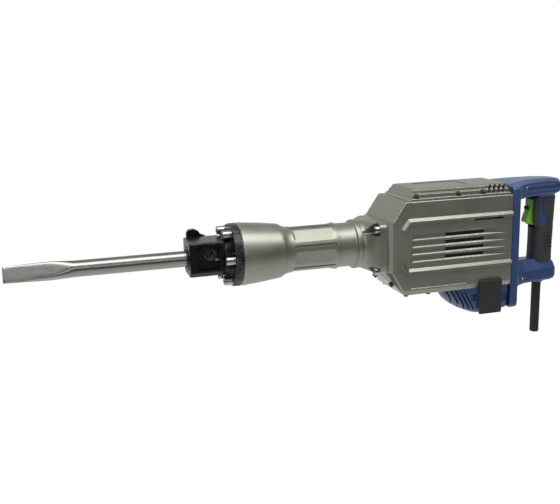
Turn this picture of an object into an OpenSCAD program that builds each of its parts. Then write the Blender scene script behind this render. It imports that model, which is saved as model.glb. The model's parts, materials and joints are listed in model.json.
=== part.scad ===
// Electric demolition hammer, 65 mm class, with a flat chisel and a D-handle.
// X runs along the hammering axis from the chisel to the handle, Z is up and
// the origin is on that axis at the tool holder's front face.

/* [Chisel] */
// Diameter of the chisel's round stem
stem_d = 30; // [26:0.5:31]
// Distance from the holder's face to the cutting edge
chisel_reach = 325; // [240:5:420]
// Width of the hexagonal shank across its flats
shank_af = 30; // [28:0.5:30]
// Length of shank inside the holder
shank_in = 85; // [80:1:85]
// Width of the cutting edge
edge_w = 30; // [22:1:34]
// Thickness of the cutting edge
edge_t = 3; // [2:0.5:6]

/* [Front cover] */
// Width of the box-shaped tool holder
holder_w = 68; // [60:1:76]
// Radius of the round flange behind the holder
flange_r = 60; // [58:0.5:64]
// Number of bolts round the flange
front_bolt_count = 6; // [4:1:8]
// Radius of the circle that the bolts stand on
front_bolt_r = 50.5; // [49:0.5:51]

/* [Barrel] */
// Radius of the cone at its front rim
cone_front_r = 59.7; // [59:0.1:63]
// Radius of the cone at its rear edge
cone_rear_r = 51.6; // [50:0.1:54]
// Radius of the straight barrel
barrel_r = 44.5; // [43:0.5:48]

/* [Housing] */
// Width of the main housing
body_w = 133; // [130:1:150]
// Height of the housing's side above the axis
body_top = 86; // [85:1:92]
// Depth of the housing below the axis
body_bottom = 99; // [98:1:110]
// Thickness of the housing's walls
wall = 4.5; // [3:0.5:5]
// Width of the raised top cover
top_w = 104; // [100:1:110]
// Height of the top cover above the axis
top_z = 107; // [100:1:115]

/* [Motor and gears] */
// Place of the motor's upright axis
motor_x = 588; // [586:0.5:588]
// Outer radius of the armature core
armature_r = 34.5; // [30:0.5:35]
// Teeth of the motor pinion
pinion_teeth = 12; // [12:1:12]
// Teeth of the layshaft's large gear
lay_teeth = 48; // [48:1:48]
// Teeth of the layshaft's small gear
small_teeth = 15; // [15:1:15]
// Teeth of the crank gear
crank_teeth = 45; // [45:1:45]
// Radius of the crank
crank_throw = 26; // [20:1:26]

/* [Handle] */
// Rear end of the handle's arms
handle_end = 790; // [780:1:800]
// Place of the grip's centre line
grip_x = 754; // [752:1:756]
// Length of the rubber cord guard below the handle
guard_len = 112; // [60:1:120]
// Diameter of the cord guard
guard_d = 19; // [17:0.5:22]

/* [Hidden] */
$fn = 64;

// Clearances: parts that run in each other, and parts that only stand together
run_gap = 0.05;
seat_gap = 0.1;
// Joint line between castings and covers
face_gap = 0.3;

// Stations along the axis
box_end = 62;
flange_x0 = 80;
flange_x1 = 96.5;
cone_end = 177;
barrel_x0 = 195;
barrel_x1 = 322;
seam_x0 = 326;
seam_x1 = 336;
body_x0 = 377;
body_x1 = 386;
slope_x = 413;
rear_x = 647;
tail_x = 580;
bore_r = 35;

// Retainer: a half-moon cross shaft that lies over the shank's notch
lever_x = 35;
lever_z = shank_af / 2;
lever_r = 8;
chisel_travel = 25;
notch_x0 = lever_x - lever_r - 0.5;
notch_x1 = lever_x + lever_r + chisel_travel + 0.5;

// Gear train: centre distances follow from the teeth
fast_module = 1.25;
slow_module = 2;
lay_x = motor_x - fast_module * (pinion_teeth + lay_teeth) / 2;
crank_x = lay_x - slow_module * (small_teeth + crank_teeth) / 2;
fast_z = 55;
fast_h = 10;
slow_z = 68;
slow_h = 12;
rod_len = 95;
gudgeon_x = crank_x + crank_throw - rod_len;
piston_r = 30 - run_gap;
gudgeon_r = 7;
crank_pin_r = 9;

// Shafts, where gears, bearings and wound parts sit on them
motor_shaft_r = 7;
lay_shaft_r = 8;
crank_end_r = 12;
press_gap = 0.02;

// Louvres in the housing's sides
vent_count = 4;
vent_x0 = 499;
vent_x1 = 576;
vent_top = 17;
vent_pitch = 14.5;

// Motor stack, as heights on its axis
core_z0 = -90;
core_z1 = -44;
brush_z = -119;

// Handle
plate_x1 = 662;
arm_top = 104;
arm_h = 34;
low_arm_z = -66;
low_arm_h = 46;
arm_seat = 34;
trigger_pin_x = 738;
trigger_pin_z = 56;

module xcyl(r, x0, x1) {
    translate([x0, 0, 0]) rotate([0, 90, 0]) cylinder(r = r, h = x1 - x0);
}

module ycyl(r, y0, y1) {
    translate([0, y1, 0]) rotate([90, 0, 0]) cylinder(r = r, h = y1 - y0);
}

module xtube(r0, r1, x0, x1) {
    difference() {
        xcyl(r1, x0, x1);
        xcyl(r0, x0 - 1, x1 + 1);
    }
}

module ztube(r0, r1, z0, z1) {
    translate([0, 0, z0]) difference() {
        cylinder(r = r1, h = z1 - z0);
        translate([0, 0, -1]) cylinder(r = r0, h = z1 - z0 + 2);
    }
}

module box(x0, x1, y0, y1, z0, z1) {
    translate([x0, y0, z0]) cube([x1 - x0, y1 - y0, z1 - z0]);
}

// A hexagonal bar along X with flats above and below
module xhex(af, x0, x1) {
    translate([x0, 0, 0]) rotate([0, 90, 0]) rotate([0, 0, 30])
        cylinder(r = af / 2 / cos(30), h = x1 - x0, $fn = 6);
}

// An outline drawn in X and Z, extruded across Y
module side_plate(points, y0, y1) {
    translate([0, y1, 0]) rotate([90, 0, 0])
        linear_extrude(y1 - y0) polygon(points);
}

// A socket-head bolt along X with its head's face at the origin
module socket_bolt(head_r, head_h, shank_r, shank_len) {
    difference() {
        xcyl(head_r, 0, head_h);
        xhex(head_r, -1, head_h / 2);
    }
    xcyl(shank_r, head_h - 0.5, head_h + shank_len);
}

// Involute function, in degrees
function inv(a) = tan(a) * 180 / PI - a;

// Outline of a spur gear: four points up each flank, 25 degree pressure angle
function gear_points(teeth, m, phase, backlash) =
    let (
        pitch_r = teeth * m / 2,
        base_r = pitch_r * cos(25),
        tip_r = pitch_r + 0.95 * m,
        root_r = pitch_r - 1.2 * m,
        half = 90 / teeth - backlash / pitch_r * 180 / PI,
        radii = [root_r, max(base_r, root_r + 0.1), (base_r + tip_r) / 2, tip_r]
    )
    [for (t = [0 : teeth - 1], side = [-1, 1], i = [0 : 3])
        let (
            r = side < 0 ? radii[i] : radii[3 - i],
            a = half + inv(25) - inv(acos(min(1, base_r / max(r, base_r)))),
            where = phase + t * 360 / teeth + side * a
        )
        [r * cos(where), r * sin(where)]];

module gear(teeth, m, height, bore, phase = 0) {
    difference() {
        linear_extrude(height) polygon(gear_points(teeth, m, phase, 0.12));
        translate([0, 0, -1]) cylinder(r = bore, h = height + 2);
    }
}

// A coil spring along Z, swept as one closed tube
module spring(coil_r, wire_r, height, turns) {
    sides = 6;
    steps = turns * 12;
    rings = [for (i = [0 : steps])
        let (a = i * 30, z = height * i / steps)
        for (s = [0 : sides - 1])
            let (b = s * 360 / sides, r = coil_r + wire_r * cos(b))
            [r * cos(a), r * sin(a), z + wire_r * sin(b)]];
    walls = [for (i = [0 : steps - 1], s = [0 : sides - 1], half = [0, 1])
        let (
            a = i * sides + s,
            b = i * sides + (s + 1) % sides
        )
        half == 0 ? [a, b, b + sides] : [a, b + sides, a + sides]];
    start = [[for (s = [0 : sides - 1]) sides - 1 - s]];
    finish = [[for (s = [0 : sides - 1]) steps * sides + s]];
    polyhedron(rings, concat(walls, start, finish), convexity = 10);
}

// ---- Chisel and tool holder ----

module chisel() {
    color("silver") {
        difference() {
            union() {
                xcyl(stem_d / 2, -chisel_reach + 90, 5);
                xhex(shank_af, 4, shank_in);
            }
            box(notch_x0, notch_x1, -20, 20, lever_z - lever_r - 0.5, 20);
        }
        rotate([-30, 0, 0]) hull() {
            box(-chisel_reach, -chisel_reach + 1, -edge_t / 2, edge_t / 2, -edge_w / 2, edge_w / 2);
            xcyl(stem_d / 2 - 0.5, -chisel_reach + 94, -chisel_reach + 100, $fn = 32);
        }
    }
}

module holder_outline() {
    side_plate([[0, -26], [4, -31], [box_end + 4, -31], [box_end + 4, 34], [0, 34]],
        -holder_w / 2, holder_w / 2);
}

module front_cover() {
    color("dimgray") difference() {
        union() {
            holder_outline();
            xcyl(42, box_end + 3, flange_x0 + 2);
            xcyl(flange_r, flange_x0, flange_x1);
            for (a = [90, 270]) rotate([a, 0, 0])
                box(box_end + 5, flange_x0 + 2, -5, 5, 20, 52);
        }
        xcyl(shank_af / 2 / cos(30) + 1, -1, 49);
        xcyl(28 + run_gap, 48, flange_x1 + 1);
        translate([lever_x, 0, lever_z]) ycyl(lever_r + run_gap, -50, 50);
        box(14, 54, -holder_w / 2 - 1, -holder_w / 2 + 6, -18, 28);
        front_bolt_places() xcyl(5.3, -1, 30);
        front_bolt_places() xcyl(9, -30, 0);
    }
}

// Repeats its child on the bolt circle, at the flange's front face
module front_bolt_places() {
    for (i = [0 : front_bolt_count - 1])
        rotate([i * 360 / front_bolt_count, 0, 0])
            translate([flange_x0, front_bolt_r, 0]) children();
}

module front_bolts() {
    color("lightgray") front_bolt_places()
        translate([-17, 0, 0]) socket_bolt(8, 14.5, 5, 38);
}

module front_washers() {
    color("silver") front_bolt_places()
        xtube(5.2, 8.5, -2.4, 0);
}

// The shaft is cut to a half moon between its journals, and turning it by
// half a turn brings the flat side down and frees the shank
module retainer_lever() {
    reach = holder_w / 2;
    color("dimgray") difference() {
        union() {
            translate([lever_x, 0, lever_z]) ycyl(lever_r, -reach + 7, reach + 2);
            side_plate([[26, 4], [44, 4], [52, 14], [50, 25], [34, 38], [29, 46], [13, 48],
                [7, 42], [7, 34], [20, 25]], reach + 0.6, reach + 12);
        }
        translate([lever_x, 0, lever_z])
            box(-9, 9, -18.6, 18.6, -0.4, 9);
    }
}

module tool_sleeve() {
    color("slategray") difference() {
        union() {
            xcyl(28, 48, flange_x1 + 1);
            xcyl(bore_r - seat_gap, flange_x1, 104);
        }
        xhex(shank_af + 0.7, 47, shank_in + 0.5);
        xcyl(19.5, shank_in + 0.3, 105);
    }
}

module front_seal() {
    color("black") xtube(17.4, 25, 104.1, 108.6);
}

module bolt_sleeve() {
    color("slategray") difference() {
        xcyl(bore_r - seat_gap, 104, 160);
        xcyl(17 + run_gap, 103, 161);
        xcyl(25.1, 103, 109);
    }
}

module damper_ring() {
    color("darkred") xtube(18.5, bore_r - 0.5, 160.1, 169);
}

module impact_bolt() {
    color("silver") {
        xcyl(17, 85.6, 171);
        xcyl(24, 169.6, 200);
    }
}

// ---- Barrel and hammer mechanism ----

module barrel_outline() {
    rotate([0, 90, 0]) rotate_extrude($fn = 96) polygon([
        [0, flange_x1], [cone_front_r, flange_x1], [cone_front_r, flange_x1 + 6],
        [cone_rear_r, cone_end], [cone_rear_r - 3.8, cone_end + 6], [barrel_r, barrel_x0],
        [barrel_r, 285], [barrel_r - 1.5, 290], [barrel_r - 1.5, barrel_x1],
        [barrel_r + 4, seam_x0], [barrel_r + 4, seam_x1], [0, seam_x1]]);
}

// Repeats its child at the four bolts of the barrel's rear flange
module case_bolt_places() {
    for (y = [-50, 50], z = [-47, 34])
        translate([352, y, z]) children();
}

module cylinder_case() {
    color("darkkhaki") difference() {
        union() {
            barrel_outline();
            hull() {
                xcyl(barrel_r + 3, seam_x1 - 2, seam_x1, $fn = 32);
                box(364, body_x0 - face_gap, -50, 50, -54, 47);
            }
            box(364, body_x0 - face_gap, -60, 60, -54, 47);
        }
        xcyl(bore_r, flange_x1 - 1, body_x0 + 1);
        front_bolt_places() xcyl(5.1, 0, 37);
        case_bolt_places() xcyl(5.3, 0, 30);
        case_bolt_places() xcyl(9.5, -20, 12);
    }
}

module cylinder_liner() {
    color("gray") difference() {
        xcyl(bore_r - seat_gap, 215, gudgeon_x + 1);
        xcyl(30, 214, gudgeon_x + 2);
    }
}

module striker() {
    color("silver") difference() {
        union() {
            xcyl(16, 226, 242);
            xcyl(piston_r, 240, 300);
        }
        xtube(27.4, 31, 286, 290.2);
    }
}

module striker_ring() {
    color("black") xtube(27.5, 29.7, 286.1, 290.1);
}

module piston() {
    color("lightgray") translate([gudgeon_x, 0, 0]) difference() {
        xcyl(piston_r, -32, 14);
        xcyl(24, -24, 15);
        xtube(27.4, 31, -29, -25.8);
        translate([0, 0, -31]) cylinder(r = gudgeon_r + press_gap, h = 62);
    }
}

module piston_ring() {
    color("black") translate([gudgeon_x, 0, 0]) xtube(27.5, 29.7, -28.9, -25.9);
}

module gudgeon_pin() {
    color("silver") translate([gudgeon_x, 0, -28]) cylinder(r = gudgeon_r, h = 56);
}

module con_rod() {
    color("gray") translate([gudgeon_x, 0, 0]) difference() {
        union() {
            translate([0, 0, -9]) cylinder(r = 12, h = 18);
            translate([rod_len, 0, -8]) cylinder(r = 16, h = 16);
            box(6, rod_len - 10, -7, 7, -6, 6);
        }
        translate([0, 0, -10]) cylinder(r = gudgeon_r + 0.08, h = 20);
        translate([rod_len, 0, -10]) cylinder(r = crank_pin_r + 0.3, h = 20);
    }
}

module case_bolts() {
    color("lightgray") case_bolt_places()
        translate([2, 0, 0]) socket_bolt(8, 10, 5, 24);
}

// ---- Housing ----

function body_outline(inset) = [
    [body_x1 + inset, -53 + inset / 3], [body_x1 + inset, 47 - inset / 3],
    [slope_x + inset / 3, body_top - inset], [rear_x + inset, body_top - inset],
    [rear_x + inset, -body_bottom + inset], [slope_x + inset / 3, -body_bottom + inset]];

module main_housing() {
    color("darkkhaki") difference() {
        hull() {
            side_plate(body_outline(0), -body_w / 2 + wall, body_w / 2 - wall);
            side_plate([[body_x1, -53], [body_x1, 47], [slope_x, body_top], [rear_x, body_top],
                [rear_x, -body_bottom + 10], [slope_x - 6, -body_bottom + 10]],
                -body_w / 2, body_w / 2);
            box(body_x0, body_x1, -54, 54, -52, 46);
        }
        side_plate(body_outline(8), -body_w / 2 + wall, body_w / 2 - wall);
        side_plate([[430, -body_bottom + wall], [rear_x + 1, -body_bottom + wall],
            [rear_x + 1, body_top - wall], [430, body_top - wall]],
            -body_w / 2 + wall, body_w / 2 - wall);
        xcyl(bore_r, body_x0 - 1, body_x1 + 12);
        case_bolt_places() xcyl(5.1, 20, 40);
        box(436, 632, -45, 45, body_top - 10, body_top + 1);
        translate([tail_x, 0, -body_bottom - 1]) cylinder(r = 58, h = 12);
        box(tail_x, rear_x + 1, -58, 58, -body_bottom - 1, -body_bottom + 10);
        for (side = [-1, 1], i = [0 : vent_count - 1])
            translate([0, side * body_w / 2, vent_top - i * vent_pitch])
                box(vent_x0, vent_x1, -8, 8, -4, 4);
        for (side = [-1, 1])
            translate([0, side * body_w / 2, 42]) box(560, 626, -8, 8, -2, 2);
    }
}

// Plates behind the louvres: air passes round them and grit doesn't fly in
module vent_baffles() {
    inside = body_w / 2 - wall;
    color("black") for (side = [0, 1]) mirror([0, side, 0]) {
        box(vent_x0 - 14, vent_x1 + 14, inside - 4, inside - 1.5, -36, 24);
        for (x = [vent_x0 - 12, vent_x1 + 8], z = [-34, 18])
            box(x, x + 4, inside - 1.6, inside - seat_gap, z, z + 4);
    }
}

module top_outline(inset) {
    side_plate([[slope_x + 12 + inset, body_top + face_gap], [slope_x + 25 + inset, top_z - inset],
        [rear_x - 7 - inset, top_z - inset], [rear_x - 3 - inset, body_top + face_gap]],
        -top_w / 2 + inset, top_w / 2 - inset);
}

module top_cover() {
    color("darkkhaki") difference() {
        union() {
            top_outline(0);
            box(slope_x + 15, rear_x - 3, -61, 61, body_top + face_gap, body_top + 4);
        }
        top_outline(4);
        top_screw_places() cylinder(r = 2.7, h = 20, center = true);
    }
}

// Repeats its child at the top cover's screws, on the housing's top face
module top_screw_places() {
    for (x = [440, 530, 584], y = [-56.5, 56.5])
        translate([x, y, body_top + 4]) children();
}

module top_screws() {
    color("dimgray") top_screw_places() difference() {
        union() {
            cylinder(r = 4.2, h = 3);
            translate([0, 0, -3.6]) cylinder(r = 2.5, h = 4);
        }
        translate([0, 0, 1.5]) cylinder(r = 2, h = 3, $fn = 6);
    }
}

module housing_screws() {
    color("dimgray") {
        for (x = [422, 470], y = [-50, 50])
            translate([x, y, -body_bottom - 5]) difference() {
                cylinder(r = 4.5, h = 5);
                translate([0, 0, -1]) cylinder(r = 2.2, h = 3, $fn = 6);
            }
        for (y = [-40, 40])
            translate([397, y, -78.2]) rotate([0, 232.5, 0]) translate([0, 0, 0.3])
                cylinder(r = 5, h = 6);
    }
}

// ---- Gear train ----

module gear_case() {
    color("lightslategray") difference() {
        union() {
            box(424, 612, -58, 58, 34, 42);
            translate([crank_x, 0, 24]) cylinder(r = 31, h = 30);
            translate([lay_x, 0, 24]) cylinder(r = 22, h = 29.5);
            translate([motor_x, 0, 24]) cylinder(r = 21, h = 15);
        }
        translate([crank_x, 0, 23]) cylinder(r = 26 + seat_gap, h = 32);
        translate([lay_x, 0, 23]) cylinder(r = 17 + seat_gap, h = 32);
        translate([motor_x, 0, 23]) cylinder(r = 16 + seat_gap, h = 32);
    }
}

// A ball bearing shown as its ring with a groove between the races
module bearing(r0, r1, z0, z1) {
    mid = (r0 + r1) / 2;
    difference() {
        ztube(r0, r1, z0, z1);
        ztube(mid - 1.2, mid + 1.2, z0 - 1, z0 + 1);
        ztube(mid - 1.2, mid + 1.2, z1 - 1, z1 + 1);
    }
}

module crankshaft() {
    color("silver") translate([crank_x, 0, 0]) {
        translate([0, 0, 12]) cylinder(r = 38, h = 8);
        translate([0, 0, 19]) cylinder(r = 15, h = slow_z - 19);
        translate([0, 0, slow_z - 1]) cylinder(r = crank_end_r, h = slow_h + 1);
        translate([crank_throw, 0, 8.8]) cylinder(r = crank_pin_r, h = 4);
    }
}

module crank_gear() {
    color("goldenrod") translate([crank_x, 0, slow_z])
        gear(crank_teeth, slow_module, slow_h, crank_end_r + run_gap);
}

module crank_bearings() {
    color("lightgray") translate([crank_x, 0, 0]) {
        bearing(15 + run_gap, 26, 24.5, 36.5);
        bearing(15 + run_gap, 26, 40.5, 52.5);
    }
}

module layshaft() {
    color("silver") translate([lay_x, 0, 0]) {
        translate([0, 0, 25]) cylinder(r = lay_shaft_r, h = slow_z - 24);
        translate([0, 0, slow_z]) gear(small_teeth, slow_module, slow_h, 0.01);
    }
}

module layshaft_gear() {
    color("goldenrod") translate([lay_x, 0, fast_z])
        gear(lay_teeth, fast_module, fast_h, lay_shaft_r + run_gap);
}

module shaft_bearings() {
    color("lightgray") {
        translate([lay_x, 0, 0]) bearing(lay_shaft_r + run_gap, 17, 26, 37);
        translate([lay_x, 0, 0]) bearing(lay_shaft_r + run_gap, 17, 41, 52);
        translate([motor_x, 0, 0]) bearing(motor_shaft_r + run_gap, 16, 25, 38);
        translate([motor_x, 0, 0]) bearing(5 + run_gap, 11, -142, -133);
    }
}

// ---- Motor ----

module armature_shaft() {
    color("silver") translate([motor_x, 0, 0]) {
        translate([0, 0, -141.5]) cylinder(r = 5, h = 12);
        translate([0, 0, -131]) cylinder(r = motor_shaft_r, h = 170);
        translate([0, 0, 38]) cylinder(r = 5.5, h = fast_z - 37);
        translate([0, 0, fast_z - 1])
            linear_extrude(fast_h + 2) polygon(
                gear_points(pinion_teeth, fast_module, 180 / pinion_teeth, 0.12));
    }
}

module armature_core() {
    slots = 12;
    color("gray") translate([motor_x, 0, 0]) difference() {
        ztube(motor_shaft_r + press_gap, armature_r, core_z0, core_z1);
        for (i = [0 : slots - 1]) rotate([0, 0, i * 360 / slots])
            translate([armature_r - 9, -1.5, core_z0 - 1])
                cube([12, 3, core_z1 - core_z0 + 2]);
    }
}

module armature_windings() {
    color("chocolate") translate([motor_x, 0, 0]) {
        ztube(8, 30, core_z0 - 10, core_z0 - 0.2);
        ztube(8, 30, core_z1 + 0.2, core_z1 + 10);
    }
}

module commutator() {
    bars = 24;
    color("peru") translate([motor_x, 0, 0]) difference() {
        ztube(motor_shaft_r + press_gap, 19, -130, -108);
        for (i = [0 : bars - 1]) rotate([0, 0, i * 360 / bars])
            translate([18, -0.4, -131]) cube([3, 0.8, 24]);
    }
}

module fan() {
    blades = 11;
    color("ivory") translate([motor_x, 0, 0]) difference() {
        union() {
            translate([0, 0, -26]) cylinder(r = 46, h = 4);
            translate([0, 0, -26]) cylinder(r = 14, h = 20);
            for (i = [0 : blades - 1]) rotate([0, 0, i * 360 / blades])
                translate([16, -1, -23]) cube([28, 2, 15]);
        }
        translate([0, 0, -30]) cylinder(r = motor_shaft_r + press_gap, h = 40);
    }
}

module motor_housing() {
    color("midnightblue") translate([motor_x, 0, 0]) {
        ztube(51.2, 56, -97, -30);
        ztube(48, 56, -30.5, -28.5);
    }
}

module stator_core() {
    color("gray") translate([motor_x, 0, 0]) ztube(36, 51, -92, -42);
}

module field_coils() {
    color("chocolate") translate([motor_x, 0, 0]) {
        ztube(37, 48, -102, -92.2);
        ztube(37, 48, -41.8, -33);
    }
}

module tail_outline(inset) {
    linear_extrude(60) union() {
        translate([tail_x, 0]) circle(r = 63 - inset);
        translate([tail_x, -62 + inset])
            square([rear_x - face_gap - tail_x - inset, 124 - 2 * inset]);
    }
}

module tail_cover() {
    color("midnightblue") difference() {
        intersection() {
            translate([0, 0, -156]) tail_outline(0);
            union() {
                box(400, 800, -80, 80, -140, -body_bottom - face_gap);
                hull() {
                    box(524, 655, -63, 63, -141, -139);
                    box(548, 650, -56, 56, -156, -155);
                }
            }
        }
        difference() {
            translate([0, 0, -151]) tail_outline(7);
            translate([motor_x, 0, -152]) cylinder(r = 16, h = 20);
        }
        translate([motor_x, 0, -143]) cylinder(r = 11 + seat_gap, h = 20);
        tail_screw_places() cylinder(r = 2.5 + seat_gap, h = 10);
    }
}

// Repeats its child at the screws inside the tail cover's wall
module tail_screw_places() {
    for (place = [[548, 50], [640, 57]], side = [-1, 1])
        translate([place[0], side * place[1], -body_bottom - 9]) children();
}

module tail_screws() {
    color("lightgray") tail_screw_places() translate([0, 0, 0.1]) cylinder(r = 2.5, h = 8.4);
}

module brush_holders() {
    color("gold") for (side = [0, 1]) mirror([0, side, 0])
        translate([motor_x, 0, brush_z]) difference() {
            box(-6, 6, 21, 50, -8, 8);
            box(-4.1, 4.1, 20, 51, -6.1, 6.1);
        }
}

module carbon_brushes() {
    color("black") for (side = [-1, 1])
        translate([motor_x, side * 28, brush_z]) cube([8, 16, 12], center = true);
}

module brush_springs() {
    color("silver") for (side = [-1, 1])
        translate([motor_x, side * 36.8, brush_z]) rotate([side * -90, 0, 0])
            spring(2.8, 0.5, 12, 5);
}

module brush_covers() {
    color("darkslategray") for (side = [0, 1]) mirror([0, side, 0]) {
        box(574, 624, -71, -body_w / 2 - face_gap, -153, -82);
        box(576, 622, -body_w / 2 - 0.4, -63.2, -151, -body_bottom - 1);
    }
}

// ---- Handle ----

module grip_core(r, z0, z1) {
    hull() {
        translate([grip_x - 6, 0, z0]) cylinder(r = r, h = z1 - z0, $fn = 32);
        translate([grip_x + 6, 0, z0]) cylinder(r = r, h = z1 - z0, $fn = 32);
    }
}

module handle_body() {
    difference() {
        union() {
            box(rear_x + face_gap, plate_x1, -66, 66, -150, 101);
            hull() {
                box(plate_x1 - 8, plate_x1, -52, 52, arm_top - arm_h, arm_top);
                box(handle_end - 12, handle_end, -22, 22, arm_top - arm_h, arm_top - 1);
            }
            hull() {
                box(plate_x1 - 8, plate_x1, -46, 46, low_arm_z - low_arm_h, low_arm_z);
                box(handle_end - 12, handle_end - 4, -22, 22, low_arm_z - low_arm_h, low_arm_z);
            }
            grip_core(18, low_arm_z - 2, arm_top - arm_h + 2);
            translate([grip_x - 2, 0, low_arm_z - low_arm_h - 6]) cylinder(r = 14, h = 8);
        }
        box(rear_x - 1, plate_x1 - 5, -60, 60, -144, arm_top - arm_h - 4);
        box(plate_x1 + 4, 772, -16, 16, arm_top - arm_h + 5, arm_top - 5);
        box(734, 772, -13, 13, low_arm_z - low_arm_h + 6, arm_top - 5);
        box(720, 740, -11, 11, 2, 68);
        translate([grip_x - 2, 0, -140]) cylinder(r = guard_d / 2 + seat_gap, h = 34);
        rear_screw_places() ycyl(2.2, -90, 90);
        front_screw_places() {
            ycyl(2.2, 1, 90);
            ycyl(5.2, arm_seat - seat_gap, 90);
        }
    }
}

// Repeats its child at the screws that close the two handle halves
module rear_screw_places() {
    for (z = [92, -104]) translate([779, 0, z]) children();
}

// Repeats its children at the screws on each side of the arms, near the plate
module front_screw_places() {
    for (z = [90, -101], side = [0, 1])
        mirror([0, side, 0]) translate([694, 0, z]) children();
}

module handle_left() {
    color("midnightblue") intersection() {
        handle_body();
        box(600, 850, -100, -0.05, -200, 200);
    }
}

module handle_right() {
    color("midnightblue") intersection() {
        handle_body();
        box(600, 850, 0.05, 100, -200, 200);
    }
}

module grip_rubber() {
    color("black") difference() {
        union() {
            grip_core(20.3, low_arm_z + 0.5, 6);
            intersection() {
                grip_core(20.3, 5, arm_top - arm_h - 2);
                box(766, 790, -16, 16, 4, arm_top);
            }
            for (side = [0, 1]) mirror([0, side, 0]) box(728, 742, 13, 17, 5, 67);
        }
        grip_core(18.1, low_arm_z, arm_top);
        box(715, 734, -11.5, 11.5, 1, 8);
    }
}

module handle_screws() {
    color("lightgray") {
        rear_screw_places() ycyl(2, -20, 20);
        front_screw_places() {
            ycyl(2, 3, arm_seat + 1);
            ycyl(4.8, arm_seat, arm_seat + 5);
        }
    }
}

module switch_body() {
    color("dimgray") {
        box(757, 771, -11, 11, 0, 44);
        box(760, 768, -8, 8, -8, 1);
    }
}

module trigger() {
    color("limegreen") difference() {
        side_plate([[726, 63], [715, 20], [716, 15], [731, 7], [744, 11], [747, 58], [742, 63]],
            -9.5, 9.5);
        translate([trigger_pin_x, 0, trigger_pin_z]) ycyl(2.5 + 0.08, -12, 12);
        translate([0, 0, 44]) xcyl(4.3, 700, 734.5);
    }
}

module trigger_pin() {
    color("silver") translate([trigger_pin_x, 0, trigger_pin_z]) ycyl(2.5, -12.9, 12.9);
}

module trigger_spring() {
    color("silver") translate([trigger_pin_x, 10.2, trigger_pin_z]) rotate([-90, 0, 0])
        spring(3.3, 0.4, 2, 2);
}

module lock_button() {
    color("black") translate([0, 0, 44]) union() {
        xcyl(4, 717, 731);
        xcyl(2.6, 715.5, 718);
    }
}

module cord_clamp() {
    color("dimgray") difference() {
        box(738, 766, -12, 12, -104, -98);
        translate([grip_x - 2, 0, -110]) cylinder(r = 5.5, h = 20);
    }
}

module cord_guard() {
    color("black") translate([grip_x - 2, 0, 0])
        ztube(5.35, guard_d / 2, low_arm_z - low_arm_h - 6 - guard_len, -107);
}

chisel();
front_cover();
front_bolts();
front_washers();
retainer_lever();
tool_sleeve();
front_seal();
bolt_sleeve();
damper_ring();
impact_bolt();
cylinder_case();
cylinder_liner();
striker();
striker_ring();
piston();
piston_ring();
gudgeon_pin();
con_rod();
case_bolts();
main_housing();
vent_baffles();
top_cover();
top_screws();
housing_screws();
gear_case();
crankshaft();
crank_gear();
crank_bearings();
layshaft();
layshaft_gear();
shaft_bearings();
armature_shaft();
armature_core();
armature_windings();
commutator();
fan();
motor_housing();
stator_core();
field_coils();
tail_cover();
tail_screws();
brush_holders();
carbon_brushes();
brush_springs();
brush_covers();
handle_left();
handle_right();
grip_rubber();
handle_screws();
switch_body();
trigger();
trigger_pin();
trigger_spring();
lock_button();
cord_clamp();
cord_guard();
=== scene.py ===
import json
import math
import bmesh
import bpy
from mathutils import Matrix, Vector


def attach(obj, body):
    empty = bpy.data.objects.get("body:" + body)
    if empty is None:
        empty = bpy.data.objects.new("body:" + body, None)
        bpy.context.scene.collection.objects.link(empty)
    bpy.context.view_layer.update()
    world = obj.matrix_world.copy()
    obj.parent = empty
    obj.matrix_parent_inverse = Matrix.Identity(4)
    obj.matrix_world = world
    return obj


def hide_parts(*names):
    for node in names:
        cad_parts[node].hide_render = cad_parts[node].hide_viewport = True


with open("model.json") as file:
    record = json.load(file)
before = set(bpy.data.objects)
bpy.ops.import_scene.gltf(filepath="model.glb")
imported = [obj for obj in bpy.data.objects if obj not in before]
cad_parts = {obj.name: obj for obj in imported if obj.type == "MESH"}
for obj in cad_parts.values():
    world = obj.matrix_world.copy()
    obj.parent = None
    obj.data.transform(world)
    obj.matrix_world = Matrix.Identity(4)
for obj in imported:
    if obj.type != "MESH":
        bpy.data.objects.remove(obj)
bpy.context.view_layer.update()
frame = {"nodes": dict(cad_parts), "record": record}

# Lengths in this script are written in millimetres and turned into metres
# where a mesh is made. The model's frame is the CAD frame: X along the
# hammering axis, Z up, the origin at the tool holder's front face.
MM = 0.001
SIDES = (-1, 1)
NODES = frame["nodes"]
SLOT_OF = {entry["node"]: entry["material_slot"] for entry in frame["record"]["subparts"]}
BODY_OF = {node: body for body, nodes in frame["record"]["behaviour"]["bodies"].items()
           for node in nodes}


def placed(name, data):
    """A scene object that shows the data."""
    thing = bpy.data.objects.new(name, data)
    bpy.context.scene.collection.objects.link(thing)
    return thing


# ---------------------------------------------------------------- camera

CAMERA_AT = Vector((-224.4, -1405.7, 325.7)) * MM
CAMERA_FORWARD = Vector((0.2700, 0.9375, -0.2195))
CAMERA_RIGHT = Vector((0.9589, -0.2824, -0.0269))
SENSOR = 36.0
FOCAL_PER_WIDTH = 39 / 28
CLIP_END_M = 60


def make_camera():
    forward = CAMERA_FORWARD.normalized()
    right = (CAMERA_RIGHT - forward * CAMERA_RIGHT.dot(forward)).normalized()
    up = right.cross(forward)
    data = bpy.data.cameras.new("camera")
    data.sensor_width = SENSOR
    data.lens = SENSOR * FOCAL_PER_WIDTH
    data.clip_end = CLIP_END_M
    turn = Matrix((right, up, -forward)).transposed()
    camera = placed("camera", data)
    camera.matrix_world = Matrix.Translation(CAMERA_AT) @ turn.to_4x4()
    bpy.context.scene.camera = camera


make_camera()


# ---------------------------------------------------------------- mesh tools

def discard(thing):
    mesh = thing.data
    bpy.data.objects.remove(thing)
    bpy.data.meshes.remove(mesh)


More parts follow.
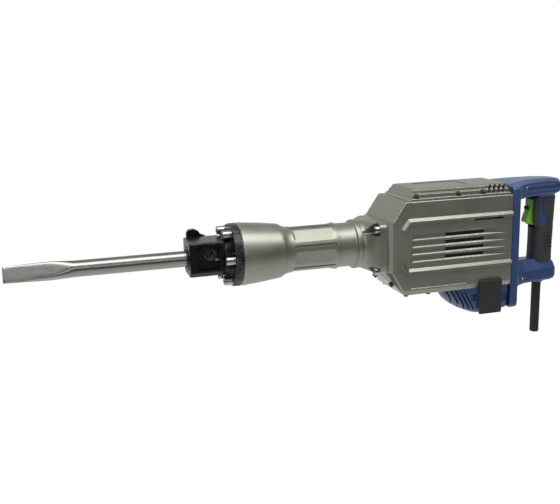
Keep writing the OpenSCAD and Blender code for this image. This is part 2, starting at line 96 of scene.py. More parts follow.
def new_object(name, bm):
    """A scene object from a bmesh whose vertices are in millimetres."""
    bmesh.ops.scale(bm, vec=(MM, MM, MM), verts=bm.verts)
    bmesh.ops.recalc_face_normals(bm, faces=bm.faces)
    mesh = bpy.data.meshes.new(name)
    bm.to_mesh(mesh)
    bm.free()
    return placed(name, mesh)


def joined(name, things):
    """One object from several, without changing their shapes."""
    bm = bmesh.new()
    for thing in things:
        bm.from_mesh(thing.data)
        discard(thing)
    mesh = bpy.data.meshes.new(name)
    bm.to_mesh(mesh)
    bm.free()
    return placed(name, mesh)


def bake_modifiers(thing):
    graph = bpy.context.evaluated_depsgraph_get()
    graph.update()
    mesh = bpy.data.meshes.new_from_object(thing.evaluated_get(graph))
    thing.modifiers.clear()
    old = thing.data
    thing.data = mesh
    bpy.data.meshes.remove(old)


def combine(thing, others, operation):
    """Adds solids to thing ("UNION"), cuts them away ("DIFFERENCE") or
    keeps what lies inside them ("INTERSECT"), and uses them up."""
    for other in others:
        modifier = thing.modifiers.new("combine", "BOOLEAN")
        modifier.solver = "MANIFOLD"
        modifier.operation = operation
        modifier.object = other
    bake_modifiers(thing)
    for other in others:
        discard(other)
    return thing


def round_edges(thing, width, segments=2, angle=32):
    """Rounds every edge that turns by more than angle, in degrees."""
    modifier = thing.modifiers.new("edges", "BEVEL")
    modifier.width = width * MM
    modifier.segments = segments
    modifier.limit_method = "ANGLE"
    modifier.angle_limit = math.radians(angle)
    modifier.use_clamp_overlap = True
    modifier.miter_outer = "MITER_ARC"
    bake_modifiers(thing)
    return thing


def shade(thing, crease):
    """Smooth shading that stays flat on flat faces, and sharp on edges that
    turn by more than crease, in degrees."""
    thing.data.shade_smooth()
    thing.data.set_sharp_from_angle(angle=math.radians(crease))
    modifier = thing.modifiers.new("even", "WEIGHTED_NORMAL")
    modifier.keep_sharp = True
    modifier.weight = 50
    bake_modifiers(thing)


def extrude(points, place):
    """A prism: place(u, v, end) gives a corner's 3-D point at end 0 or 1."""
    bm = bmesh.new()
    ends = []
    for end in (0, 1):
        ends.append([bm.verts.new(place(u, v, end)) for u, v in points])
    count = len(points)
    bm.faces.new(ends[0])
    bm.faces.new(list(reversed(ends[1])))
    for i in range(count):
        j = (i + 1) % count
        bm.faces.new((ends[0][j], ends[0][i], ends[1][i], ends[1][j]))
    return bm


def side_prism(name, points, y0, y1):
    """An outline in X and Z, between y0 and y1 in either order."""
    ys = sorted((y0, y1))
    return new_object(name, extrude(points, lambda u, v, end: (u, ys[end], v)))


def flat_prism(name, points, z0, z1):
    """An outline in X and Y, from z0 up to z1."""
    zs = (z0, z1)
    return new_object(name, extrude(points, lambda u, v, end: (u, v, zs[end])))


def cross_prism(name, points, x0, x1):
    """An outline in Y and Z, from x0 back to x1."""
    xs = (x0, x1)
    return new_object(name, extrude(points, lambda u, v, end: (xs[end], u, v)))


def rectangle(u0, u1, v0, v1):
    return [(u0, v0), (u1, v0), (u1, v1), (u0, v1)]


def block(name, x0, x1, y0, y1, z0, z1):
    return side_prism(name, rectangle(x0, x1, z0, z1), y0, y1)


def round_corners(points, radius, steps=5):
    """The outline with each corner turned into an arc."""
    out = []
    count = len(points)
    for i in range(count):
        here = Vector(points[i])
        before = Vector(points[i - 1]) - here
        after = Vector(points[(i + 1) % count]) - here
        half = before.angle(after) / 2
        reach = min(radius / math.tan(half), before.length * 0.48, after.length * 0.48)
        start = here + before.normalized() * reach
        end = here + after.normalized() * reach
        for k in range(steps + 1):
            t = k / steps
            a = start.lerp(here, t)
            b = here.lerp(end, t)
            out.append(tuple(a.lerp(b, t)))
    return out


def rounded(u0, u1, v0, v1, radius, steps=5):
    return round_corners(rectangle(u0, u1, v0, v1), radius, steps)


def axis_point(axis, at, station, radius, a):
    c = radius * math.cos(a)
    s = radius * math.sin(a)
    if axis == "X":
        return (at[0] + station, at[1] + c, at[2] + s)
    if axis == "Y":
        return (at[0] + c, at[1] + station, at[2] + s)
    return (at[0] + c, at[1] + s, at[2] + station)


def bridge(bm, a, b, steps):
    """Faces between two rings, either of which may be a single point."""
    for k in range(steps):
        j = (k + 1) % steps
        if len(a) == 1:
            bm.faces.new((a[0], b[j], b[k]))
        elif len(b) == 1:
            bm.faces.new((a[k], a[j], b[0]))
        else:
            bm.faces.new((a[k], a[j], b[j], b[k]))


def turned(name, profile, axis="X", at=(0, 0, 0), steps=48):
    """A solid of revolution. The profile lists (station, radius): it ends on
    the axis with radius 0, or else it closes on itself as a ring."""
    bm = bmesh.new()
    loops = []
    for station, radius in profile:
        if radius <= 0:
            loops.append([bm.verts.new(axis_point(axis, at, station, 0, 0))])
            continue
        ring = []
        for k in range(steps):
            a = 2 * math.pi * k / steps
            ring.append(bm.verts.new(axis_point(axis, at, station, radius, a)))
        loops.append(ring)
    pairs = list(zip(loops, loops[1:]))
    if profile[0][1] > 0:
        pairs.append((loops[-1], loops[0]))
    for a, b in pairs:
        bridge(bm, a, b, steps)
    return new_object(name, bm)


def rod(name, radius, x0, x1, axis="X", at=(0, 0, 0), steps=40, chamfer=0):
    """A cylinder between two stations, given in either order."""
    lo, hi = sorted((x0, x1))
    if chamfer:
        wall = [(lo, radius - chamfer), (lo + chamfer, radius), (hi - chamfer, radius),
                (hi, radius - chamfer)]
    else:
        wall = [(lo, radius), (hi, radius)]
    return turned(name, [(lo, 0)] + wall + [(hi, 0)], axis, at, steps)


def loft(name, sections):
    """A solid through loops of points that all have the same count."""
    bm = bmesh.new()
    loops = [[bm.verts.new(p) for p in loop] for loop in sections]
    count = len(loops[0])
    for a, b in zip(loops, loops[1:]):
        bridge(bm, a, b, count)
    bm.faces.new(list(reversed(loops[0])))
    bm.faces.new(loops[-1])
    return new_object(name, bm)


def polar_solid(name, stations, radius_at, bore, steps):
    """A tube along X whose outer radius is radius_at(x, angle)."""
    bm = bmesh.new()
    angles = [2 * math.pi * k / steps for k in range(steps)]

    def ring(x, radius):
        return [bm.verts.new((x, radius(x, a) * math.cos(a), radius(x, a) * math.sin(a)))
                for a in angles]

    outer = [ring(x, radius_at) for x in stations]
    inner = [ring(x, lambda x, a: bore) for x in (stations[0], stations[-1])]
    loops = outer + [inner[1], inner[0]]
    for a, b in zip(loops, loops[1:] + loops[:1]):
        bridge(bm, a, b, steps)
    return new_object(name, bm)


def ease(t):
    t = max(0.0, min(1.0, t))
    return t * t * (3 - 2 * t)


def through(rows, x, column=1):
    """The column's value at x, on straight lines between rows that start
    with their x."""
    if x <= rows[0][0]:
        return rows[0][column]
    for before, after in zip(rows, rows[1:]):
        if x <= after[0]:
            rise = after[column] - before[column]
            return before[column] + rise * (x - before[0]) / (after[0] - before[0])
    return rows[-1][column]


def stations_between(x0, x1, step):
    count = max(1, round((x1 - x0) / step))
    return [x0 + (x1 - x0) * i / count for i in range(count + 1)]


# ---------------------------------------------------------------- shader tools

# Sockets of the colour mix node, which have no names of their own
MIX_FACTOR, MIX_A, MIX_B, MIX_COLOUR = 0, 6, 7, 2


def add_node(tree, kind, **inputs):
    item = tree.nodes.new(kind)
    for key, value in inputs.items():
        item.inputs[key].default_value = value
    return item


def noise(tree, vector, scale, **inputs):
    item = add_node(tree, "ShaderNodeTexNoise", Scale=float(scale), **inputs)
    tree.links.new(vector, item.inputs["Vector"])
    return item.outputs["Fac"]


def ramp(tree, value, stops, blend="LINEAR"):
    """A colour for each value, from stops of (position, colour)."""
    item = tree.nodes.new("ShaderNodeValToRGB")
    item.color_ramp.interpolation = blend
    elements = item.color_ramp.elements
    elements.remove(elements[1])
    for i, (position, colour) in enumerate(stops):
        element = elements[0] if i == 0 else elements.new(position)
        element.position = position
        element.color = colour
    tree.links.new(value, item.inputs["Fac"])
    return item.outputs["Color"]


def mixed(tree, factor, a, b):
    """Colour a where factor is 0 and colour b where it is 1."""
    item = tree.nodes.new("ShaderNodeMix")
    item.data_type = "RGBA"
    tree.links.new(factor, item.inputs[MIX_FACTOR])
    for socket, colour in ((MIX_A, a), (MIX_B, b)):
        if isinstance(colour, tuple):
            item.inputs[socket].default_value = colour
        else:
            tree.links.new(colour, item.inputs[socket])
    return item.outputs[MIX_COLOUR]


# ---------------------------------------------------------------- materials

MOTTLE_FROM, MOTTLE_TO = 0.32, 0.68
# Pointiness over which convex edges are painted lighter, as a painted highlight and as wear
WEAR_AND_HIGHLIGHT_FROM, WEAR_AND_HIGHLIGHT_TO = 0.595, 0.64
ROUGH_SPREAD = 0.08
RELIEF_M = 0.0006


def edge_wear_and_highlight(tree, place, wear_and_highlight):
    """Lighter colour on convex edges, partly bare wear and partly a painted highlight: up to the
    given amount, in patches, and 0 elsewhere.
    """
    shape = tree.nodes.new("ShaderNodeNewGeometry")
    patches = noise(tree, place.outputs["Object"], 220, Detail=4.0)
    total = tree.nodes.new("ShaderNodeMath")
    total.operation = "MULTIPLY_ADD"
    total.inputs[1].default_value = 0.10
    tree.links.new(patches, total.inputs[0])
    tree.links.new(shape.outputs["Pointiness"], total.inputs[2])
    return ramp(tree, total.outputs[0], [(WEAR_AND_HIGHLIGHT_FROM, (0, 0, 0, 1)),
                                         (WEAR_AND_HIGHLIGHT_TO, (wear_and_highlight, wear_and_highlight, wear_and_highlight, 1))])


def material(name, base, metallic, roughness, grain, depth, mottle, mottle_scale,
             stretch=(1, 1, 1), wear_and_highlight=0.0, wear_and_highlight_colour=None, coat=0.0, gloss=0.5):
    """A surface with fine grain in its relief, slow changes in colour and roughness, and convex
    edges painted lighter, partly as bare wear and partly as a painted highlight, where that amount
    is above 0."""
    made = bpy.data.materials.new(name)
    made.use_nodes = True
    tree = made.node_tree
    shader = tree.nodes["Principled BSDF"]
    shader.inputs["Metallic"].default_value = metallic
    shader.inputs["Specular IOR Level"].default_value = gloss
    shader.inputs["Coat Weight"].default_value = coat
    shader.inputs["Coat Roughness"].default_value = 0.15

    place = tree.nodes.new("ShaderNodeTexCoord")
    scaled = add_node(tree, "ShaderNodeMapping", Scale=stretch)
    tree.links.new(place.outputs["Object"], scaled.inputs["Vector"])
    along = scaled.outputs["Vector"]

    cloud = noise(tree, along, mottle_scale, Detail=6.0, Roughness=0.62)
    dark = tuple(c * (1 - mottle) for c in base) + (1,)
    light = tuple(min(1, c * (1 + mottle)) for c in base) + (1,)
    colour = ramp(tree, cloud, [(MOTTLE_FROM, dark), (MOTTLE_TO, light)])
    # Convex edges painted lighter: a painted highlight, mixed with bare wear
    if wear_and_highlight > 0:
        colour = mixed(tree, edge_wear_and_highlight(tree, place, wear_and_highlight), colour, wear_and_highlight_colour + (1,))
    tree.links.new(colour, shader.inputs["Base Color"])

    sheen = tree.nodes.new("ShaderNodeMapRange")
    sheen.inputs["To Min"].default_value = max(0.02, roughness - ROUGH_SPREAD)
    sheen.inputs["To Max"].default_value = min(1.0, roughness + ROUGH_SPREAD)
    tree.links.new(cloud, sheen.inputs["Value"])
    tree.links.new(sheen.outputs["Result"], shader.inputs["Roughness"])

    relief = add_node(tree, "ShaderNodeBump", Strength=depth, Distance=RELIEF_M)
    tree.links.new(noise(tree, along, grain, Detail=3.0), relief.inputs["Height"])
    tree.links.new(relief.outputs["Normal"], shader.inputs["Normal"])
    return made


# Base colour, metallic, roughness, grain scale and depth, mottle and its scale
FINISHES = {
    "tool_steel": ((0.27, 0.27, 0.255), 1.0, 0.25, 700, 0.10, 0.14, 45),
    "black_casting": ((0.003, 0.0033, 0.003), 0.0, 0.26, 520, 0.30, 0.25, 40),
    "bright_fastener": ((0.40, 0.40, 0.385), 1.0, 0.24, 1400, 0.06, 0.12, 90),
    "dark_fastener": ((0.06, 0.06, 0.06), 0.8, 0.38, 900, 0.12, 0.2, 80),
    "silver_casting": ((0.29, 0.292, 0.245), 0.85, 0.40, 1500, 0.14, 0.06, 22),
    "machined_steel": ((0.50, 0.50, 0.50), 1.0, 0.26, 1200, 0.06, 0.08, 60),
    "gear_steel": ((0.34, 0.32, 0.29), 1.0, 0.34, 900, 0.10, 0.15, 60),
    "seal_rubber": ((0.018, 0.018, 0.018), 0.0, 0.60, 1100, 0.25, 0.2, 60),
    "damper_rubber": ((0.25, 0.04, 0.03), 0.0, 0.55, 900, 0.2, 0.1, 60),
    "blue_plastic": ((0.026, 0.062, 0.175), 0.0, 0.38, 1300, 0.22, 0.10, 26),
    "charcoal_plastic": ((0.024, 0.025, 0.022), 0.0, 0.50, 1300, 0.3, 0.10, 40),
    "grip_rubber": ((0.036, 0.037, 0.038), 0.0, 0.62, 1100, 0.45, 0.2, 60),
    "green_plastic": ((0.24, 0.62, 0.06), 0.0, 0.33, 1300, 0.12, 0.06, 50),
    "black_plastic": ((0.012, 0.012, 0.013), 0.0, 0.45, 1200, 0.25, 0.2, 60),
    "copper": ((0.50, 0.20, 0.08), 0.9, 0.34, 800, 0.3, 0.25, 90),
    "laminations": ((0.24, 0.24, 0.25), 0.9, 0.40, 700, 0.5, 0.2, 60),
    "brass_parts": ((0.62, 0.44, 0.17), 1.0, 0.30, 1200, 0.08, 0.12, 80),
    "carbon": ((0.02, 0.02, 0.02), 0.1, 0.55, 900, 0.3, 0.3, 90),
    "pale_plastic": ((0.62, 0.60, 0.52), 0.0, 0.45, 1200, 0.2, 0.08, 50),
}
# What some of them have besides
EXTRAS = {
    "tool_steel": dict(stretch=(0.08, 1, 1)),
    # The castings' lighter edges are mostly a painted highlight, with some wear
    "black_casting": dict(wear_and_highlight=0.35, wear_and_highlight_colour=(0.17, 0.17, 0.17), gloss=0.30),
    "silver_casting": dict(wear_and_highlight=0.6, wear_and_highlight_colour=(0.66, 0.66, 0.60)),
    "blue_plastic": dict(wear_and_highlight=0.15, wear_and_highlight_colour=(0.08, 0.13, 0.28), coat=0.25),
    "charcoal_plastic": dict(wear_and_highlight=0.2, wear_and_highlight_colour=(0.14, 0.14, 0.13)),
    "copper": dict(stretch=(1, 1, 6)),
    "laminations": dict(stretch=(0.1, 0.1, 12)),
}
LOOKS = {slot: material(slot, *values, **EXTRAS.get(slot, {}))
         for slot, values in FINISHES.items()}


def stand_for(thing, node, crease=30):
    """Gives a finished piece its shading, material and body, and hides the CAD part that it takes
    the place of."""
    shade(thing, crease)
    slot = SLOT_OF[node]
    thing.data.materials.clear()
    thing.data.materials.append(LOOKS[slot])
    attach(thing, BODY_OF[node])
    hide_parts(node)


def dress_cad_nodes():
    """Finishes every CAD node that keeps its own shape."""
    for name, thing in NODES.items():
        thing.data.materials.clear()
        thing.data.materials.append(LOOKS[SLOT_OF[name]])


dress_cad_nodes()


# ---------------------------------------------------------------- chisel

STEM_R = 15
SHANK_FLAT = 15
HEXAGON_FROM = 4
SHANK_TAPER_FROM, SHANK_END = 82, 85
SHANK_TAPER = 0.8
# A polar solid is a tube, so the chisel has a hair-thin bore
HAIR_BORE = 0.5
BLADE_TILT = math.radians(-30)
EDGE_X = -325
# Along the blade: station, half thickness, half width, squareness
BLADE = [(EDGE_X, 1.2, 14.6, 12), (-323, 1.8, 15.2, 12), (-300, 4.4, 15.4, 10),
         (-250, 10.2, 15.4, 8), (-238, 11.6, 15.2, 6.5), (-226, 12.3, 14.9, 4.2),
         (-214, 13.8, 14.9, 2.7), (-204, 15, 15, 2)]


def chisel_radius(x, a):
    """A hexagonal shank, a round stem, and a blade between two shapes of
    superellipse."""
    if x > HEXAGON_FROM:
        from_flat = (a + math.pi / 2 + math.pi / 6) % (math.pi / 3) - math.pi / 6
        return SHANK_FLAT / math.cos(from_flat) - max(0, x - SHANK_TAPER_FROM) * SHANK_TAPER
    if x > BLADE[-1][0]:
        return STEM_R
    thick = through(BLADE, x, 1)
    width = through(BLADE, x, 2)
    power = through(BLADE, x, 3)
    # The face's normal points to the near side and up
    across = abs(math.cos(a - BLADE_TILT)) / thick
    along = abs(math.sin(a - BLADE_TILT)) / width
    return (across ** power + along ** power) ** (-1 / power)


def make_chisel():
    stations = [EDGE_X, EDGE_X + 1] + stations_between(EDGE_X + 2, -200, 4)
    stations += [-120, -60, 0, HEXAGON_FROM - 0.1, HEXAGON_FROM + 0.1]
    stations += [SHANK_TAPER_FROM, SHANK_END]
    solid = polar_solid("chisel_forged", stations, chisel_radius, HAIR_BORE, 144)
    notch = block("notch", 26.5, 68.5, -20, 20, 6.5, 20)
    combine(solid, [notch], "DIFFERENCE")
    stand_for(solid, "chisel")


# ---------------------------------------------------------------- tool holder

HOLDER_Y = 34
HOLDER_END = 66
# The stop lever's shaft crosses the holder here
LEVER_AT = (35, 0, 15)
LEVER_SHAFT_R = 8
LEVER_THICK = 12
LEVER_GAP = 0.6
FLANGE = (80, 96.5)
BOLT_CIRCLE = 50.5
BOLT_COUNT = 6
BOLT_HEAD = 14.5
MOUTH_R = 18.4
# The housing's four bolts: their heads' X, and a bolt at each Y and each Z
CASE_BOLT_X = 354
CASE_BOLT_Y = (-50, 50)
CASE_BOLT_Z = (-47, 34)


def bolt_spots():
    for i in range(BOLT_COUNT):
        a = 2 * math.pi * i / BOLT_COUNT
        yield BOLT_CIRCLE * math.cos(a), BOLT_CIRCLE * math.sin(a)


def holder_casting():
    """The holder's body with its mouth, neck, flange, bolt lobes and ribs."""
    section = round_corners([(-HOLDER_Y, -22), (-26, -31), (26, -31), (HOLDER_Y, -22),
                             (HOLDER_Y, 34), (-HOLDER_Y, 34)], 4, 4)
    solid = cross_prism("holder_casting", section, 0, HOLDER_END)
    round_edges(solid, 2.2, 3)
    parts = [
        turned("mouth", [(-1.8, 0), (-1.8, 22), (-0.6, 24), (2, 26), (2, 0)]),
        turned("neck", [(65, 0), (65, 39), (71, 41), (78, 46), (82, 50), (82, 0)], steps=72),
        turned("flange", [(FLANGE[0], 0), (FLANGE[0], 57), (82, 59.6), (94, 60),
                          (FLANGE[1], 58.6), (FLANGE[1], 0)], steps=96),
    ]
    for y, z in bolt_spots():
        parts.append(rod("lobe", 10.6, FLANGE[0] + 0.05, 94, at=(0, y, z), chamfer=1.2))
    for side in SIDES:
        for z in (8, -12):
            rib = block("rib", 67, 83, side * 30, side * 52, z - 4, z + 4)
            parts.append(round_edges(rib, 1.5))
    for z0, z1 in ((30, 47), (-47, -28)):
        for y in (-9, 9):
            parts.append(round_edges(block("rib", 66, 83, y - 3, y + 3, z0, z1), 1.5))
    return combine(solid, parts, "UNION")


def holder_openings():
    """Side windows, the bores for chisel and sleeve, and the bolts' places."""
    cuts = [side_prism("window", rounded(13, 55, -18, 27, 4), side * (HOLDER_Y + 2),
                       side * (HOLDER_Y - 6)) for side in SIDES]
    cuts.append(rod("mouth_bore", MOUTH_R, -4, 49))
    cuts.append(rod("sleeve_bore", 28.1, 48, 98, steps=64))
    cuts += [rod("bolt_bore", 5.3, 60, 99, at=(0, y, z), steps=24) for y, z in bolt_spots()]
    cuts += [rod("seat", 9.2, 70, FLANGE[0] - 0.02, at=(0, y, z)) for y, z in bolt_spots()]
    return cuts


def lever_bosses():
    """Two stepped round bosses in each window, about the lever's shaft."""
    x, _, z = LEVER_AT
    bosses = []
    for side in SIDES:
        foot = side * (HOLDER_Y - 6.5)
        bosses.append(rod("boss", 11.5, foot, side * (HOLDER_Y - 1.5), "Y", (x + 3, 0, z - 5),
                          chamfer=1))
        bosses.append(rod("boss", 13.5, foot, side * (HOLDER_Y - 3.5), "Y", (x - 8, 0, z - 2),
                          chamfer=1))
    return bosses


def make_front_cover():
    solid = holder_casting()
    combine(solid, holder_openings(), "DIFFERENCE")
    combine(solid, lever_bosses(), "UNION")
    combine(solid, [rod("cross_bore", LEVER_SHAFT_R + 0.1, -40, 40, "Y", LEVER_AT),
                    rod("clear", MOUTH_R, 5, 49)], "DIFFERENCE")
    stand_for(solid, "front_cover", 32)


def make_lever():
    y0 = HOLDER_Y + LEVER_GAP
    outline = round_corners([(27, 5), (43, 4), (51, 13), (51, 23), (43, 34), (34, 37.5), (30, 44),
                             (21, 48), (12, 47), (7.2, 41), (7.2, 31), (16, 23)], 3.6, 4)
    solid = side_prism("stop_lever", outline, y0, y0 + LEVER_THICK)
    round_edges(solid, 2.4, 3)
    shaft = rod("shaft", LEVER_SHAFT_R, -HOLDER_Y + 5, y0 + 3, "Y", LEVER_AT, chamfer=0.8)
    boss = rod("boss", 12, y0 + 8, y0 + LEVER_THICK + 1.5, "Y", LEVER_AT, chamfer=1.5)
    combine(solid, [shaft, boss], "UNION")
    grooves = [side_prism("groove", rectangle(x, x + 1.4, 46, 52), y0 - 1, y0 + 14)
               for x in (12, 15.5, 19)]
    combine(solid, grooves, "DIFFERENCE")
    # Half of the shaft is cut away where the chisel's shank passes
    x, _, z = LEVER_AT
    moon = block("moon", x - 9, x + 9, -18.6, 18.6, z - 0.4, z + 9)
    combine(solid, [moon], "DIFFERENCE")
    stand_for(solid, "retainer_lever", 32)


def socket_bolt(x, y, z, tall, shank):
    """A socket-head bolt along X with its head's face at x."""
    solid = turned("bolt", [(0, 0), (0, 6.9), (0.9, 7.9), (tall - 0.6, 8), (tall, 7.6),
                            (tall, 5), (tall + shank, 5), (tall + shank, 0)],
                   at=(x, y, z), steps=40)
    points = [(y + 4.7 * math.cos(a), z + 4.7 * math.sin(a))
              for a in (math.pi / 3 * k for k in range(6))]
    combine(solid, [cross_prism("socket", points, x - 1, x + tall / 2)], "DIFFERENCE")
    return solid


def make_bolts():
    head_x = FLANGE[0] - 17
    front = joined("holder_bolts", [socket_bolt(head_x, y, z, BOLT_HEAD, 38)
                                    for y, z in bolt_spots()])
    stand_for(front, "front_bolts", 32)
    rings = []
    for y, z in bolt_spots():
        ring = turned("washer", [(-2.3, 5.3), (-2.3, 8.2), (-1.9, 8.7), (-0.6, 8.7), (-0.2, 8.2),
                                 (-0.2, 5.3)], at=(FLANGE[0], y, z), steps=40)
        gap = block("gap", FLANGE[0] - 4, FLANGE[0] + 2, y - 0.6, y + 0.6, z + 4, z + 10)
        rings.append(combine(ring, [gap], "DIFFERENCE"))
    washers = joined("spring_washers", rings)
    stand_for(washers, "front_washers", 32)
    rear = joined("flange_bolts", [socket_bolt(CASE_BOLT_X, y, z, 10, 24) for y in CASE_BOLT_Y
                                   for z in CASE_BOLT_Z])
    stand_for(rear, "case_bolts", 32)


# ---------------------------------------------------------------- barrel

BARREL = [(96.5, 58.6), (97.6, 59.7), (103, 59.8), (140, 56.4), (174, 52.3), (177.5, 51.2),
          (179.5, 49.9), (184, 47.2), (189, 45.6), (193, 44.6), (195, 44.5), (283, 44.4),
          (285, 44.6), (286, 45.4), (289, 45.4), (290.5, 43.4), (292, 43.1), (321, 43),
          (323.5, 44.2), (325.5, 47.6), (327, 48.4), (333, 48.4), (334, 47.9), (334.8, 46.7),
          (336, 46.6), (337, 47.2)]
FLARE = (337, 365)
FLARE_R = BARREL[-1][1]
BARREL_BORE = 35
FLANGE_END = 376.6
FLANGE_Y = 60
FLANGE_TOP = 47
FLANGE_LOW = 54
GROOVES = (197, 282)
GROOVE_AT = math.radians(163)
GROOVE_STEP = math.radians(60)
GROOVE_DEPTH = 2.6
FLAT_R = 42.4


def barrel_radius(x, a):
    """The turned barrel, with flats and grooves along its middle, and a flare
    that grows into the rear flange's rounded rectangle."""
    if x > FLARE[0]:
        tall = FLANGE_TOP if math.sin(a) > 0 else FLANGE_LOW
        power = 8
        square = ((abs(math.cos(a)) / FLANGE_Y) ** power
                  + (abs(math.sin(a)) / tall) ** power) ** (-1 / power)
        t = max(0.0, min(1.0, (x - FLARE[0]) / (FLARE[1] - FLARE[0])))
        return FLARE_R + (square - FLARE_R) * (t ** 1.7 * (3 - 2 * t))
    radius = through(BARREL, x)
    if GROOVES[0] < x < GROOVES[1]:
        off = (a - GROOVE_AT + GROOVE_STEP / 2) % GROOVE_STEP - GROOVE_STEP / 2
        from_flat = GROOVE_STEP / 2 - abs(off)
        fade = ease((x - GROOVES[0]) / 6) * ease((GROOVES[1] - x) / 6)
        flat = min(radius, FLAT_R / math.cos(from_flat))
        radius += (flat - radius) * fade
        run = min(x - GROOVES[0], GROOVES[1] - x)
        half = 2.0 * math.sqrt(max(0, min(1, run / 4)))
        if abs(off) * 44.5 < half:
            radius -= GROOVE_DEPTH
    return radius


def make_barrel():
    stations = sorted(set([row[0] for row in BARREL]
                          + stations_between(103, 177, 6)
                          + stations_between(GROOVES[0], GROOVES[0] + 8, 1)
                          + stations_between(GROOVES[0] + 8, GROOVES[1] - 8, 8)
                          + stations_between(GROOVES[1] - 8, GROOVES[1], 1)
                          + stations_between(FLARE[0], FLARE[1], 1.5)
                          + [FLANGE_END - 1, FLANGE_END]))
    solid = polar_solid("barrel_casting", stations, barrel_radius, BARREL_BORE, 288)
    cuts = [rod("tapped", 5.1, 90, 133, at=(0, y, z), steps=24) for y, z in bolt_spots()]
    for y in CASE_BOLT_Y:
        for z in reversed(CASE_BOLT_Z):
            cuts.append(rod("bolt_hole", 5.3, 340, 380, at=(0, y, z), steps=24))
            up, reach = (1, 22) if z > 0 else (-1, 16)
            corners = [(y + reach * math.cos(t), z + reach * math.sin(t))
                       for t in (math.radians(90 * up + 120 * k) for k in range(3))]
            cuts.append(cross_prism("pocket", round_corners(corners, 5, 3), 335, 363.9))
            cuts.append(rod("seat", 9.2, 335, 364, at=(0, y, z)))
    combine(solid, cuts, "DIFFERENCE")
    stand_for(solid, "cylinder_case")


# ---------------------------------------------------------------- housing

BODY_Y = 66.5
BODY_FRONT, BODY_REAR = 386, 646.8
BODY_LOW, BODY_TOP = -99, 86
SLOPE_END = 413
BODY_OUTLINE = [(BODY_FRONT, -53), (BODY_FRONT, 47), (SLOPE_END, BODY_TOP),
                (BODY_REAR, BODY_TOP), (BODY_REAR, BODY_LOW), (SLOPE_END, BODY_LOW)]
HOLLOW_OUTLINE = [(394, -48), (394, 42), (417, 81.5), (650, 81.5), (650, -94.5), (417, -94.5)]
# The band in front, which meets the barrel's flange: X, half width, extra height
FRONT_BAND = [(377, 54, 0), (386.5, 65.6, 0.2), (392, 65.6, 0.2)]
# Louvres: height of each, and their depth along X
LOUVRES = (17, 2.5, -12, -26.5)
LOUVRE_RUN = [(427, -0.6), (430, 2.0), (498, 2.2), (499, 8), (576, 8), (584, 4.2), (633, -0.6)]
# Side ridge: height above the path's centre line, distance from the middle
RIDGE = [(6.5, 65.5), (6.3, 66.3), (0.4, 71.4), (-3.2, 71.8), (-5.6, 66.6), (-6, 65.5)]
LIP = [(2.6, 65.8), (2.4, 66.6), (0.2, 68), (-2, 68), (-3.5, 65.8)]
# Centre of the round front of the tail cover, and the armature's lower bearing
TAIL_X = 580
LOWER_BEARING = (588, 0, 0)


def bar(name, path, section, side):
    """A strip along a path in X and Z on one side of the housing."""
    loops = []
    for i, here in enumerate(path):
        here = Vector(here)
        into = (here - Vector(path[i - 1])).normalized() if i else None
        out = (Vector(path[i + 1]) - here).normalized() if i + 1 < len(path) else None
        into, out = into or out, out or into
        normal = Vector((-(into + out).y, (into + out).x)).normalized()
        stretch = 1 / max(0.4, normal.dot(Vector((-out.y, out.x))))
        loops.append([(here.x + normal.x * n * stretch, side * y,
                       here.y + normal.y * n * stretch) for n, y in section])
    return loft(name, loops)


def louvre(side, z):
    """The cutter for one groove: shallow, open, then running out."""
    loops = []
    for x, depth in LOUVRE_RUN:
        ramp = max(0.1, min(depth, 2.8))
        y = BODY_Y - depth
        loops.append([(x, side * 69, z + 4), (x, side * 69, z - 6.6), (x, side * BODY_Y, z - 6.4),
                      (x, side * (BODY_Y - ramp), z - 6.4 + ramp), (x, side * (y - 0.1), z - 3.5),
                      (x, side * (y - 0.1), z + 4)])
    return loft("louvre", loops)


def housing_shell():
    """The casting's hollow body with its front band and lower bevels."""
    solid = side_prism("housing_casting", BODY_OUTLINE, -BODY_Y, BODY_Y)
    round_edges(solid, 3, 3, 24)
    band = loft("front_band", [[(x, y * wide, z + math.copysign(lift, z))
                                for y, z in rounded(-1, 1, -52, 46, 0.05, 3)]
                               for x, wide, lift in FRONT_BAND])
    combine(solid, [band], "UNION")
    bevels = [cross_prism("lower_bevel", [(side * 66.6, -88), (side * 70, -88),
                                          (side * 70, -101), (side * 61, -101)], 380, 660)
              for side in SIDES]
    combine(solid, bevels, "DIFFERENCE")
    return combine(solid, [side_prism("hollow", HOLLOW_OUTLINE, -62, 62)], "DIFFERENCE")


def housing_ridges():
    """Ridges and a lip along both sides, and the slope of the underside."""
    ridges = []
    for side in SIDES:
        ridges.append(bar("ridge", [(408, 31), (421, 47.5), (645, 47.5)], RIDGE, side))
        ridges.append(bar("ridge", [(404, -37), (418, -51), (645, -51)], RIDGE, side))
        ridges.append(bar("lip", [(424, -87), (546, -87)], LIP, side))
    for thing in ridges:
        round_edges(thing, 0.7, 2, 20)
    # The underside runs straight from the flange to the foot
    ridges.append(side_prism("underside", [(377.1, -50), (390, -48), (420, -96), (414, -98.9),
                                           (412.6, -98.6), (377.1, -52.1)], -53.8, 53.8))
    return ridges


